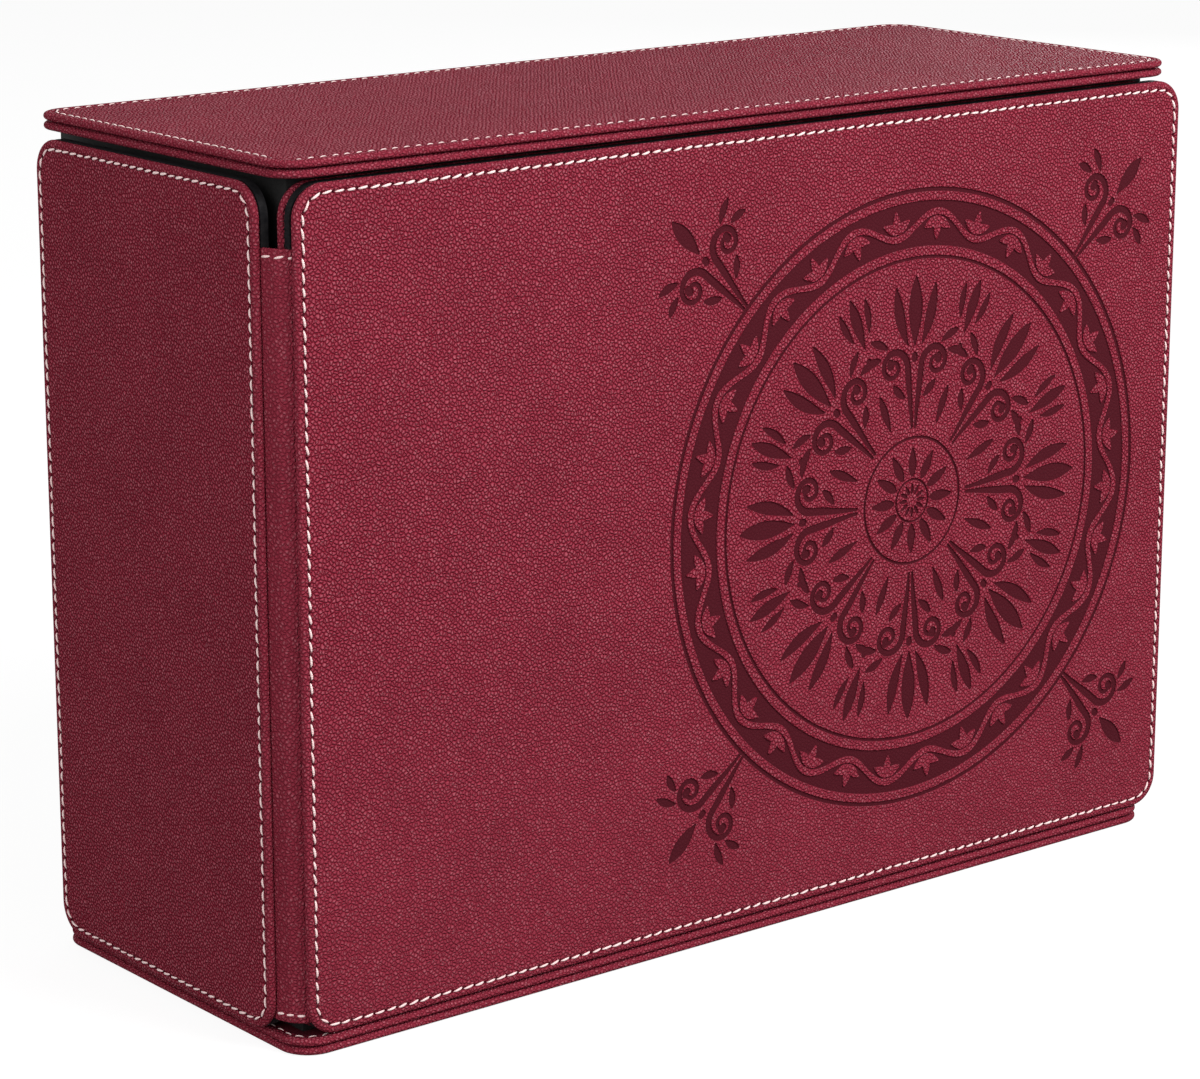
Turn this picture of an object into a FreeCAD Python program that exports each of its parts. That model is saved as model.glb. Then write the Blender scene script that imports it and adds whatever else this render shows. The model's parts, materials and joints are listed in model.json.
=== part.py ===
import FreeCAD, Part
import math
import os
import Sketcher

# Card storage box: a black inner case with three drawers and a lidded tray, closed by a folding cover of
# leatherette-wrapped boards. Millimetres, x to the right, y to the back, z up, origin under the base.
doc = FreeCAD.newDocument("CardStorageBox")
vector = FreeCAD.Vector

# Driving dimensions
sizes = {
    "total_height": 250,
    "board_length": 338,     # lid and base, left to right
    "board_depth": 127,      # lid and base, front to back
    "board_thick": 2.4,      # one wrapped board
    "board_corner": 10,      # lid and base corners, seen from above
    "bead_round": 1.05,      # rolled edge of a wrapped board
    "panel_corner": 9.5,     # corners of the upright panels
    "lining_thick": 2.4,
    "film_thick": 0.6,
    "film_inset": 5,
    "side_proud": 3.1,       # cover past the lid's ends, left and right
    "corner_set": 6.6,       # open notch where two panels meet
    "left_set": 9.5,         # the same at the left panel's front edge
    "back_set": 0.4,         # back cover inside the lid's edge
    "back_end": 11.5,        # back cover's ends inside the lid's
    "right_inset": 7.25,     # right cover inside the case's front and back
    "top_clear": 1.6,
    "bottom_clear": 0.7,
    "strip_thick": 0.9,
    "strip_tongue": 8,
    "strip_drop": 17,        # panel's top edge down to a hinge strip's top
    "strip_rise": 4,
    "fold_radius": 1.5,
    "lid_strip_end": 29,     # lid's strip inside the lid's ends
    "lid_tongue": 10,
    "case_set": 6.75,        # case inside the lid's ends
    "wall_thick": 3,
    "floor_thick": 6.2,
    "rest_gap": 0.3,
    "frame_proud": 3.65,     # front frame past the case's sides
    "frame_gap": 0.5,
    "guide_thick": 10.25,    # blocks beside the drawers
    "tray_depth": 22.1,
    "drawer_clear": 0.4,
    "drawer_recess": 4.6,
    "drawer_corner": 2,
    "back_clear": 1,
    "shelf_thick": 2,
    "tray_wall": 2,
    "tray_bottom": 1.6,
    "tray_drop": 1,
    "pull_width": 20,
    "pull_length": 26,
    "pull_thick": 1.2,
    "pull_corner": 8,
    "felt_thick": 1,
    "felt_inset": 4,
    "magnet_radius": 5,
    "magnet_thick": 1.5,
    "magnet_inset": 39.05,   # end magnets from the panel's ends
}
sheet = doc.addObject("Spreadsheet::Sheet", "Dims")
for row, (alias, value) in enumerate(sizes.items(), start=1):
    sheet.set(f"A{row}", alias)
    sheet.set(f"B{row}", str(value))
    sheet.setAlias(f"B{row}", alias)
doc.recompute()


def size(alias):
    return f"Dims.{alias}"


def plus(*terms):
    return "(" + " + ".join(terms) + ")"


def minus(first, *rest):
    return "(" + " - ".join((first,) + rest) + ")"


def half(term):
    return f"({term} / 2)"


def negative(term):
    return f"(0 - {term})"


# Heights
base_top = f"(2 * {size('board_thick')})"
lid_under = minus(size("total_height"), base_top)
panel_low = plus(base_top, size("bottom_clear"))
panel_high = minus(lid_under, size("top_clear"))
panel_middle = half(plus(panel_low, panel_high))
back_high = minus(lid_under, size("corner_set"))
strip_low = plus(panel_low, size("strip_rise"))
strip_high = minus(panel_high, size("strip_drop"))
floor_top = plus(base_top, size("floor_thick"))
wall_top = minus(lid_under, size("rest_gap"))
tray_top = minus(wall_top, size("tray_depth"))
tray_under = minus(tray_top, size("shelf_thick"))
slot_pitch = f"(({tray_top} - {floor_top}) / 3)"
slot_height = minus(slot_pitch, size("shelf_thick"))
drawer_height = f"({slot_height} - 2 * {size('drawer_clear')})"

# Faces from left to right
board_end = half(size("board_length"))
left_face = minus(negative(board_end), size("side_proud"))
left_skin = plus(left_face, size("board_thick"))
left_back = plus(left_skin, size("lining_thick"))
left_inside = plus(left_back, size("film_thick"))
panel_left = plus(left_face, size("corner_set"))
panel_right = plus(board_end, size("side_proud"))
case_right = minus(board_end, size("case_set"))
wall_inside = minus(case_right, size("wall_thick"))
slot_side = minus(wall_inside, size("guide_thick"))
drawer_side = minus(slot_side, size("drawer_clear"))
frame_right = plus(case_right, size("frame_proud"))
back_right = minus(board_end, size("back_end"))
back_left = negative(back_right)
lid_strip_right = minus(board_end, size("lid_strip_end"))
lid_strip_left = negative(lid_strip_right)
magnet_x = half(plus(slot_side, frame_right))

# Faces from front to back
front_face = negative(half(size("board_depth")))
front_skin = plus(front_face, size("board_thick"))
front_back = plus(front_skin, size("lining_thick"))
front_inside = plus(front_back, size("film_thick"))
frame_face = plus(front_inside, size("frame_gap"))
case_front = plus(frame_face, size("board_thick"))
drawer_face = plus(frame_face, size("drawer_recess"))
drawer_box = plus(drawer_face, size("board_thick"))
back_face = minus(half(size("board_depth")), size("back_set"))
back_skin = minus(back_face, size("board_thick"))
case_back = minus(back_skin, size("lining_thick"))
back_inside = minus(case_back, size("wall_thick"))
left_front = plus(front_face, size("left_set"))
left_rear = minus(back_face, size("corner_set"))

# Fold lines of the three hinge strips
fold_set = plus(size("board_thick"), size("fold_radius"))
fold_x = plus(left_face, fold_set)
front_fold_y = plus(front_face, fold_set)
rear_fold_y = minus(back_face, fold_set)
lid_fold_z = minus(lid_under, size("fold_radius"))

# A rolled edge never takes more than this share of its board
bead_share = 0.45
pieces = []


def bead_of(thickness):
    return f"min({size('bead_round')}; {bead_share} * {thickness})"


def place(piece, corner):
    for axis, value in zip("xyz", corner):
        piece.setExpression(f"Placement.Base.{axis}", value)


def set_box(box, low, high):
    for side, first, last in zip(("Length", "Width", "Height"), low, high):
        box.setExpression(side, minus(last, first))


# Plain board between two corners
def plain_board(label, low, high):
    board = doc.addObject("Part::Box", label)
    set_box(board, low, high)
    place(board, low)
    pieces.append(board)
    return board


# Body that starts as a block between two corners, with its own origin at the low corner
def block_body(label, low, high):
    body = doc.addObject("PartDesign::Body", label)
    block = body.newObject("PartDesign::AdditiveBox", label + "_block")
    set_box(block, low, high)
    place(body, low)
    pieces.append(body)
    doc.recompute()
    return body


def cut_block(body, name, body_low, low, high):
    cut = body.newObject("PartDesign::SubtractiveBox", name)
    set_box(cut, low, high)
    place(cut, [minus(value, start) for value, start in zip(low, body_low)])
    doc.recompute()


def edge_names(feature, wanted):
    edges = enumerate(feature.Shape.Edges, start=1)
    return [f"Edge{number}" for number, edge in edges if wanted(edge)]


def round_edges(body, name, radius, wanted):
    base = body.Tip
    fillet = body.newObject("PartDesign::Fillet", name)
    fillet.Base = (base, edge_names(base, wanted))
    fillet.setExpression("Radius", radius)
    doc.recompute()


# True for an edge that runs along the axis, such as the corner of a board across its thickness
def along(axis):
    def test(edge):
        ends = [vertex.Point for vertex in edge.Vertexes]
        return len(ends) == 2 and abs(abs((ends[1] - ends[0]).normalize()[axis]) - 1) < 1e-6
    return test


# True for an edge that lies flat in a plane across the axis
def across(axis):
    def test(edge):
        box = edge.BoundBox
        return (box.XLength, box.YLength, box.ZLength)[axis] < 1e-6
    return test


# Wrapped board: rounded corners across its thickness and a rolled edge on both faces
def wrapped_board(label, low, high, axis, corner, opening=None):
    body = block_body(label, low, high)
    round_edges(body, label + "_corners", corner, along(axis))
    if opening:
        cut_block(body, label + "_opening", low, *opening)
    thickness = minus(high[axis], low[axis])
    round_edges(body, label + "_bead", bead_of(thickness), across(axis))
    return body


# Board with rounded corners and square edges
def lining_board(label, low, high, axis, corner):
    body = block_body(label, low, high)
    round_edges(body, label + "_corners", corner, along(axis))
    return body


# Hinge strip: two flat tongues joined by a quarter fold about the strip's own origin
def hinge_strip(label, plane_role, turn, origin, tongues, length):
    body = doc.addObject("PartDesign::Body", label)
    sketch = body.newObject("Sketcher::SketchObject", label + "_profile")
    plane = [part for part in body.Origin.OriginFeatures if part.Role == plane_role][0]
    sketch.AttachmentSupport = [(plane, "")]
    sketch.MapMode = "FlatFace"
    outer = sizes["fold_radius"]
    inner = outer - sizes["strip_thick"]
    reach = sizes["strip_tongue"]
    quarter = (math.pi, 1.5 * math.pi)
    corners = [vector(-outer, reach, 0), vector(-outer, 0, 0), vector(0, -outer, 0), vector(reach, -outer, 0),
               vector(reach, -inner, 0), vector(0, -inner, 0), vector(-inner, 0, 0), vector(-inner, reach, 0)]
    upright = vector(0, 0, 1)
    sketch.addGeometry([
        Part.LineSegment(corners[0], corners[1]),
        Part.ArcOfCircle(Part.Circle(vector(), upright, outer), *quarter),
        Part.LineSegment(corners[2], corners[3]),
        Part.LineSegment(corners[3], corners[4]),
        Part.LineSegment(corners[4], corners[5]),
        Part.ArcOfCircle(Part.Circle(vector(), upright, inner), *quarter),
        Part.LineSegment(corners[6], corners[7]),
        Part.LineSegment(corners[7], corners[0]),
    ], False)
    first, last, centre = 1, 2, 3
    for one, one_end, two, two_end in [(0, last, 1, first), (1, last, 2, first), (2, last, 3, first),
                                       (3, last, 4, first), (4, last, 5, last), (5, first, 6, first),
                                       (6, last, 7, first), (7, last, 0, first)]:
        sketch.addConstraint(Sketcher.Constraint("Coincident", one, one_end, two, two_end))
    for arc in (1, 5):
        sketch.addConstraint(Sketcher.Constraint("Coincident", arc, centre, -1, 1))
        sketch.addConstraint(Sketcher.Constraint("PointOnObject", arc, first, -1))
        sketch.addConstraint(Sketcher.Constraint("PointOnObject", arc, last, -2))
    for line, direction in [(0, "Vertical"), (2, "Horizontal"), (3, "Vertical"), (4, "Horizontal"),
                            (6, "Vertical"), (7, "Horizontal")]:
        sketch.addConstraint(Sketcher.Constraint(direction, line))
    bound = {
        "outer": (Sketcher.Constraint("Radius", 1, outer), size("fold_radius")),
        "inner": (Sketcher.Constraint("Radius", 5, inner), minus(size("fold_radius"), size("strip_thick"))),
        "tongue_one": (Sketcher.Constraint("DistanceY", -1, 1, 0, first, reach), tongues[0]),
        "tongue_two": (Sketcher.Constraint("DistanceX", -1, 1, 2, last, reach), tongues[1]),
    }
    for name, (constraint, expression) in bound.items():
        number = sketch.addConstraint(constraint)
        sketch.renameConstraint(number, name)
        sketch.setExpression(f"Constraints.{name}", expression)
    pad = body.newObject("PartDesign::Pad", label + "_pad")
    pad.Profile = sketch
    pad.setExpression("Length", length)
    body.Placement.Rotation = turn
    place(body, origin)
    pieces.append(body)
    doc.recompute()
    return body


# Closure magnets, set flat in an upright board one above the other
lowest_magnet = plus(panel_low, size("magnet_inset"))
highest_magnet = minus(panel_high, size("magnet_inset"))
magnet_heights = (lowest_magnet, panel_middle, highest_magnet)
towards_back = FreeCAD.Rotation(vector(1, 0, 0), -90)


def magnet_row(label, face):
    discs = []
    for number, height in enumerate(magnet_heights, start=1):
        disc = doc.addObject("Part::Cylinder", f"{label}_disc_{number}")
        disc.setExpression("Radius", size("magnet_radius"))
        disc.setExpression("Height", size("magnet_thick"))
        disc.Placement.Rotation = towards_back
        place(disc, (magnet_x, face, height))
        discs.append(disc)
    row = doc.addObject("Part::Compound", label)
    row.Links = discs
    pieces.append(row)
    return row


def magnet_pockets(body, body_low, face):
    for number, height in enumerate(magnet_heights, start=1):
        pocket = body.newObject("PartDesign::SubtractiveCylinder", f"{body.Label}_pocket_{number}")
        pocket.setExpression("Radius", size("magnet_radius"))
        pocket.setExpression("Height", size("magnet_thick"))
        pocket.Placement.Rotation = towards_back
        spot = (magnet_x, face, height)
        place(pocket, [minus(value, start) for value, start in zip(spot, body_low)])
    doc.recompute()


# Base and lid: pairs of wrapped boards lying back to back
def board_pair(lower_label, upper_label, bottom):
    middle = plus(bottom, size("board_thick"))
    top = plus(middle, size("board_thick"))
    low_corner = [negative(board_end), negative(half(size("board_depth")))]
    high_corner = [board_end, half(size("board_depth"))]
    for label, low, high in [(lower_label, bottom, middle), (upper_label, middle, top)]:
        wrapped_board(label, low_corner + [low], high_corner + [high], 2, size("board_corner"))


board_pair("base_lower", "base_upper", "0")
board_pair("lid_lower", "lid_upper", lid_under)

# Inner case
walls_inside = negative(wall_inside)
plain_board("case_floor", (walls_inside, case_front, base_top), (wall_inside, back_inside, floor_top))
plain_board("left_wall", (negative(case_right), case_front, base_top), (walls_inside, case_back, wall_top))
plain_board("right_wall", (wall_inside, case_front, base_top), (case_right, case_back, wall_top))
plain_board("back_wall", (walls_inside, back_inside, base_top),
            (wall_inside, case_back, minus(wall_top, size("strip_thick"))))
plain_board("left_guide", (walls_inside, case_front, floor_top),
            (negative(slot_side), back_inside, tray_under))
plain_board("right_guide", (slot_side, case_front, floor_top), (wall_inside, back_inside, tray_under))
for number, label in enumerate(("lower_shelf", "upper_shelf")):
    shelf_low = f"({floor_top} + {number} * {slot_pitch} + {slot_height})"
    plain_board(label, (negative(slot_side), case_front, shelf_low),
                (slot_side, back_inside, plus(shelf_low, size("shelf_thick"))))
plain_board("tray_floor", (walls_inside, case_front, tray_under), (wall_inside, back_inside, tray_top))
tray_inside = plus(case_front, size("wall_thick"))
plain_board("tray_front", (walls_inside, case_front, tray_top), (wall_inside, tray_inside, wall_top))
plain_board("tray_liner", (walls_inside, tray_inside, tray_top),
            (wall_inside, back_inside, plus(tray_top, size("felt_thick"))))

# Front frame round the drawers, with the closure magnets let into its right stile
frame_low = (negative(frame_right), frame_face, panel_low)
frame_opening = ((negative(slot_side), frame_face, floor_top), (slot_side, case_front, tray_under))
frame_body = wrapped_board("front_frame", frame_low, (frame_right, case_front, panel_high), 1,
                           size("panel_corner"), frame_opening)
frame_magnet_face = minus(case_front, size("magnet_thick"))
magnet_pockets(frame_body, frame_low, frame_magnet_face)
magnet_row("frame_magnets", frame_magnet_face)

# Fixed covers on the right and the back
right_low = plus(case_front, size("right_inset"))
right_high = minus(case_back, size("right_inset"))
wrapped_board("right_cover", (case_right, right_low, panel_low),
              (plus(case_right, size("board_thick")), right_high, panel_high), 0, size("panel_corner"))
wrapped_board("back_cover", (back_left, back_skin, panel_low), (back_right, back_face, back_high), 1,
              size("panel_corner"))
back_low = (back_left, case_back, panel_low)
back_lining = lining_board("back_lining", back_low, (back_right, back_skin, back_high), 1,
                           size("panel_corner"))
tongue_front = minus(back_skin, size("strip_thick"))
cut_block(back_lining, "rear_strip_seat", back_low, (back_left, tongue_front, strip_low),
          (plus(back_left, size("strip_tongue")), back_skin, strip_high))
cut_block(back_lining, "lid_strip_seat", back_low,
          (lid_strip_left, tongue_front, minus(back_high, size("strip_tongue"))),
          (lid_strip_right, back_skin, back_high))

# Left panel: wrapped cover, lining with a seat for each strip, clear pocket
wrapped_board("left_cover", (left_face, left_front, panel_low), (left_skin, left_rear, panel_high), 0,
              size("panel_corner"))
left_low = (left_skin, left_front, panel_low)
left_lining = lining_board("left_lining", left_low, (left_back, left_rear, panel_high), 0,
                           size("panel_corner"))
left_tongue = plus(left_skin, size("strip_thick"))
cut_block(left_lining, "front_strip_seat", left_low, (left_skin, left_front, strip_low),
          (left_tongue, plus(left_front, size("strip_tongue")), strip_high))
cut_block(left_lining, "back_strip_seat", left_low,
          (left_skin, minus(left_rear, size("strip_tongue")), strip_low),
          (left_tongue, left_rear, strip_high))
film_low = plus(panel_low, size("film_inset"))
film_corner = minus(size("panel_corner"), half(size("film_inset")))
film_high = minus(panel_high, size("film_thick"))
lining_board("left_film", (left_back, plus(left_front, size("film_inset")), film_low),
             (left_inside, minus(left_rear, size("film_inset")), film_high), 0, film_corner)

# Front panel: wrapped cover, lining with the strip's seat and the magnets, clear pocket
wrapped_board("front_cover", (panel_left, front_face, panel_low), (panel_right, front_skin, panel_high), 1,
              size("panel_corner"))
front_low = (panel_left, front_skin, panel_low)
front_lining = lining_board("front_lining", front_low, (panel_right, front_back, panel_high), 1,
                            size("panel_corner"))
cut_block(front_lining, "panel_strip_seat", front_low, (panel_left, front_skin, strip_low),
          (plus(panel_left, size("strip_tongue")), plus(front_skin, size("strip_thick")), strip_high))
magnet_pockets(front_lining, front_low, front_skin)
magnet_row("panel_magnets", front_skin)
lining_board("front_film", (plus(panel_left, size("film_inset")), front_back, film_low),
             (minus(panel_right, size("film_inset")), front_inside, film_high), 1, film_corner)

# Hinge strips: front left corner, rear left corner, lid
strip_span = minus(strip_high, strip_low)
panel_reach = plus(minus(size("corner_set"), fold_set), size("strip_tongue"))
left_reach = plus(minus(size("left_set"), fold_set), size("strip_tongue"))
no_turn = FreeCAD.Rotation()
quarter_turn = FreeCAD.Rotation(vector(0, 0, 1), -90)
half_turn = FreeCAD.Rotation(vector(1, 0, 0), 180)
hinge_strip("front_strip", "XY_Plane", no_turn, (fold_x, front_fold_y, strip_low),
            (left_reach, panel_reach), strip_span)
back_reach = plus(minus(back_left, fold_x), size("strip_tongue"))
hinge_strip("rear_strip", "XY_Plane", quarter_turn, (fold_x, rear_fold_y, strip_low),
            (back_reach, panel_reach), strip_span)
drop_reach = plus(minus(lid_fold_z, back_high), size("strip_tongue"))
hinge_strip("lid_strip", "YZ_Plane", half_turn, (lid_strip_left, rear_fold_y, lid_fold_z),
            (drop_reach, size("lid_tongue")), minus(lid_strip_right, lid_strip_left))

# Felt panel under the lid, inside the tray's walls and in front of the lid's strip
felt_right = minus(wall_inside, size("felt_inset"))
felt_back = minus(rear_fold_y, size("lid_tongue"), size("felt_thick"))
plain_board("lid_lining", (negative(felt_right), plus(tray_inside, size("felt_inset")),
                           minus(lid_under, size("felt_thick"))), (felt_right, felt_back, lid_under))


# Drawer: wrapped front, open tray and pull tab
def drawer(name, number):
    bottom = f"({floor_top} + {number} * {slot_pitch} + {size('drawer_clear')})"
    top = plus(bottom, drawer_height)
    right = drawer_side
    left = negative(right)
    wrapped_board(f"{name}_front", (left, drawer_face, bottom), (right, drawer_box, top), 1,
                  size("drawer_corner"))
    tray_back = minus(back_inside, size("back_clear"))
    rim = minus(top, size("tray_drop"))
    low = (left, drawer_box, bottom)
    tray = block_body(f"{name}_tray", low, (right, tray_back, rim))
    wall = size("tray_wall")
    cut_block(tray, f"{name}_hollow", low,
              (plus(left, wall), plus(drawer_box, wall), plus(bottom, size("tray_bottom"))),
              (minus(right, wall), minus(tray_back, wall), rim))
    pull_top = plus(half(plus(bottom, top)), half(size("pull_length")))
    pull_left = negative(half(size("pull_width")))
    pull = block_body(f"{name}_pull", (pull_left, minus(drawer_face, size("pull_thick")),
                                       minus(pull_top, size("pull_length"))),
                      (half(size("pull_width")), drawer_face, pull_top))
    lower_edges = along(1)
    round_edges(pull, f"{name}_tab", size("pull_corner"),
                lambda edge: lower_edges(edge) and edge.BoundBox.ZMax < 1e-6)


for number, name in enumerate(("lower_drawer", "middle_drawer", "upper_drawer")):
    drawer(name, number)

doc.recompute()
for item in doc.Objects:
    if "Invalid" in item.State or "Error" in item.State:
        raise RuntimeError(f"{item.Label} failed: {item.State}")
for piece in pieces:
    if piece.Shape.isNull() or not piece.Shape.isValid() or not piece.Shape.Solids:
        raise RuntimeError(f"{piece.Label} has no valid solid")

os.makedirs("parts", exist_ok=True)
for piece in pieces:
    piece.Shape.exportStep(f"parts/{piece.Label}.step")
    box = piece.Shape.BoundBox
    print(f"{piece.Label}: x {box.XMin:.2f} {box.XMax:.2f} y {box.YMin:.2f} {box.YMax:.2f} "
          f"z {box.ZMin:.2f} {box.ZMax:.2f} volume {piece.Shape.Volume:.0f}")
print(len(pieces), "sub-parts")
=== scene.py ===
import json
import math

import bpy
import numpy as np
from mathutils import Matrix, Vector
from mathutils.geometry import delaunay_2d_cdt


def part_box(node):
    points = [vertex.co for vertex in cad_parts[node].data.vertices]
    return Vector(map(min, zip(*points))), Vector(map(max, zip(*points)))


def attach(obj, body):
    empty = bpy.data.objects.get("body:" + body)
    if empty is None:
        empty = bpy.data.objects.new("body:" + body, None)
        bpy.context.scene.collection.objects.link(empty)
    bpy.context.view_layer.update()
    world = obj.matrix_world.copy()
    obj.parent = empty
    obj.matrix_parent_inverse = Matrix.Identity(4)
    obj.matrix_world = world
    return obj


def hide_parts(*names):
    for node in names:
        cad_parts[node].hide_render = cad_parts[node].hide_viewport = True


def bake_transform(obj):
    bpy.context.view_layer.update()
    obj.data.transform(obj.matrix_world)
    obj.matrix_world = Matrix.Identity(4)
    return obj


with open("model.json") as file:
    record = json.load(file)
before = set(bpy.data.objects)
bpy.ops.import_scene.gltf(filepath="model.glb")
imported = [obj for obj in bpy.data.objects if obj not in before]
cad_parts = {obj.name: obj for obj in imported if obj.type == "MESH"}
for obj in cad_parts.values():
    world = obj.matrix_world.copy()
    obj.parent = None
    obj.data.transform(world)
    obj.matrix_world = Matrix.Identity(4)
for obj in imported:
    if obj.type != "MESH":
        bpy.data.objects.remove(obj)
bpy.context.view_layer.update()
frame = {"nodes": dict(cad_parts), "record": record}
scene = bpy.context.scene
mm = 0.001
rng = np.random.default_rng(7)
print("frame loaded:", len(frame["nodes"]), "nodes")


def addNode(tree, kind, values=None, links=None, **options):
    node = tree.nodes.new(kind)
    for name, option in options.items():
        setattr(node, name, option)
    for key, value in (values or {}).items():
        node.inputs[key].default_value = value
    for key, socket in (links or {}).items():
        tree.links.new(socket, node.inputs[key])
    return node


# an input takes a number, a colour or the output of another node
def feed(tree, node, inputs):
    for place, value in inputs.items():
        if isinstance(value, tuple):
            node.inputs[place].default_value = value + (1.0,)
        elif isinstance(value, (int, float)):
            node.inputs[place].default_value = value
        else:
            tree.links.new(value, node.inputs[place])


def mathNode(tree, operation, first, second=0.0, third=0.0):
    node = addNode(tree, "ShaderNodeMath", operation=operation)
    feed(tree, node, {0: first, 1: second, 2: third})
    return node.outputs[0]


# smooth step of a value between two limits, to a low and a high result
def stepBetween(tree, value, start, end, low=0.0, high=1.0):
    node = addNode(tree, "ShaderNodeMapRange", interpolation_type="SMOOTHSTEP", clamp=True,
                   values={1: start, 2: end, 3: low, 4: high}, links={0: value})
    return node.outputs[0]


# the colour sockets of a mix are its seventh and eighth inputs and its third output
def mixColour(tree, factor, first, second, blend="MIX"):
    node = addNode(tree, "ShaderNodeMix", data_type="RGBA", blend_type=blend)
    feed(tree, node, {0: factor, 6: first, 7: second})
    return node.outputs[2]


def readAttribute(tree, name):
    return addNode(tree, "ShaderNodeAttribute", attribute_name=name).outputs["Fac"]


def readMap(tree, name):
    return addNode(tree, "ShaderNodeUVMap", uv_map=name).outputs[0]


def splitVector(tree, vector):
    return addNode(tree, "ShaderNodeSeparateXYZ", links={0: vector}).outputs


def newGroup(name, inputs, outputs):
    group = bpy.data.node_groups.new(name, "ShaderNodeTree")
    for label, default in inputs.items():
        kind = "NodeSocketVector" if isinstance(default, tuple) else "NodeSocketFloat"
        group.interface.new_socket(label, in_out="INPUT", socket_type=kind).default_value = default
    for label in outputs:
        group.interface.new_socket(label, in_out="OUTPUT", socket_type="NodeSocketFloat")
    return group, group.nodes.new("NodeGroupInput"), group.nodes.new("NodeGroupOutput")


def emptyTree(owner):
    owner.use_nodes = True
    owner.node_tree.nodes.clear()
    return owner.node_tree


def newMaterial(name):
    material = bpy.data.materials.new(name)
    tree = emptyTree(material)
    shader = tree.nodes.new("ShaderNodeBsdfPrincipled")
    out = tree.nodes.new("ShaderNodeOutputMaterial")
    tree.links.new(shader.outputs[0], out.inputs["Surface"])
    return material, tree, shader


def addGroup(tree, group, values, links=None):
    return addNode(tree, "ShaderNodeGroup", values, links, node_tree=group)


def addBump(tree, height, strength, distance):
    bump = addNode(tree, "ShaderNodeBump", values={"Strength": strength, "Distance": distance},
                   links={"Height": height})
    return bump.outputs[0]


grainLook = {
    "pebbles": 860.0,  # along a metre of the sheet
    "waver": (700.0, 0.0006),  # how often a pebble's border wavers along a metre, and how far in metres
    "slant": 0.7,  # the pebbles are longer along one slant of the sheet than across it
    "stretch": 1.08,
    "uneven": 0.85,
    "dome": (-0.05, 0.40),  # each pebble rises in a smooth dome from the crease at its border
    "crown": 0.5,
    "pale": (0.3, 1.0),  # only some pebbles get a painted glint, a pale speck on the top
    "drift": {"Scale": 30.0, "Detail": 4.0, "Roughness": 0.6},
}


# pressed grain: rounded pebbles with creases between them, and a painted glint on some pebble tops, on the
# sheet's own flat coordinates in metres
def makeGrainGroup():
    group, given, put = newGroup("pebbleGrain", {"Sheet": (0.0, 0.0, 0.0),
                                                 "Pebbles per Metre": grainLook["pebbles"]},
                                 ("Height", "Drift", "PaintedGlint"))
    sheet, scale = given.outputs[0], given.outputs[1]
    often, far = grainLook["waver"]
    wander = addNode(group, "ShaderNodeTexNoise", {"Scale": often, "Detail": 1.0}, {"Vector": sheet},
                     noise_dimensions="2D")
    shift = addNode(group, "ShaderNodeVectorMath", links={0: wander.outputs["Color"], 2: sheet},
                    operation="MULTIPLY_ADD")
    shift.inputs[1].default_value = (far, far, 0.0)
    slant = {"Rotation": (0.0, 0.0, grainLook["slant"]), "Scale": (grainLook["stretch"], 1.0, 1.0)}
    bent = addNode(group, "ShaderNodeMapping", slant, {"Vector": shift.outputs[0]}).outputs[0]
    border, seed = (addNode(group, "ShaderNodeTexVoronoi", links={"Vector": bent, "Scale": scale},
                            voronoi_dimensions="2D", feature=feature)
                    for feature in ("DISTANCE_TO_EDGE", "F1"))
    for cells in (border, seed):
        cells.inputs["Randomness"].default_value = grainLook["uneven"]
    height = stepBetween(group, border.outputs["Distance"], *grainLook["dome"])
    crown = stepBetween(group, seed.outputs["Distance"], 0.0, grainLook["crown"], 1.0, 0.0)
    drift = addNode(group, "ShaderNodeTexNoise", grainLook["drift"], {"Vector": sheet}, noise_dimensions="2D")
    cell = addNode(group, "ShaderNodeSeparateColor", links={0: seed.outputs["Color"]})
    # painted highlight: a pale glint on the crown of some pebbles
    paintedGlint = mathNode(group, "MULTIPLY", stepBetween(group, cell.outputs[0], *grainLook["pale"]), crown)
    for place, made in enumerate((height, drift.outputs[0], paintedGlint)):
        group.links.new(made, put.inputs[place])
    return group


fibreLook = {
    "fibres": 1500.0,  # along a metre
    "nap": {"Detail": 4.0, "Roughness": 0.65, "Distortion": 0.6},
    "drift": {"Scale": 45.0, "Detail": 3.0},
}


# fine fibre for papers, linings and felt: a short nap, and a slow drift over the sheet
def makeFibreGroup():
    group, given, put = newGroup("shortFibre", {"Fibres per Metre": fibreLook["fibres"]}, ("Height", "Drift"))
    place = group.nodes.new("ShaderNodeTexCoord").outputs["Object"]
    nap = addNode(group, "ShaderNodeTexNoise", fibreLook["nap"], {"Vector": place, "Scale": given.outputs[0]})
    drift = addNode(group, "ShaderNodeTexNoise", fibreLook["drift"], {"Vector": place})
    for number, made in enumerate((nap, drift)):
        group.links.new(made.outputs[0], put.inputs[number])
    return group


grainGroup = makeGrainGroup()
fibreGroup = makeFibreGroup()
driftSpan = (0.3, 0.7)  # nearly all of a slow drift lies between these

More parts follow.
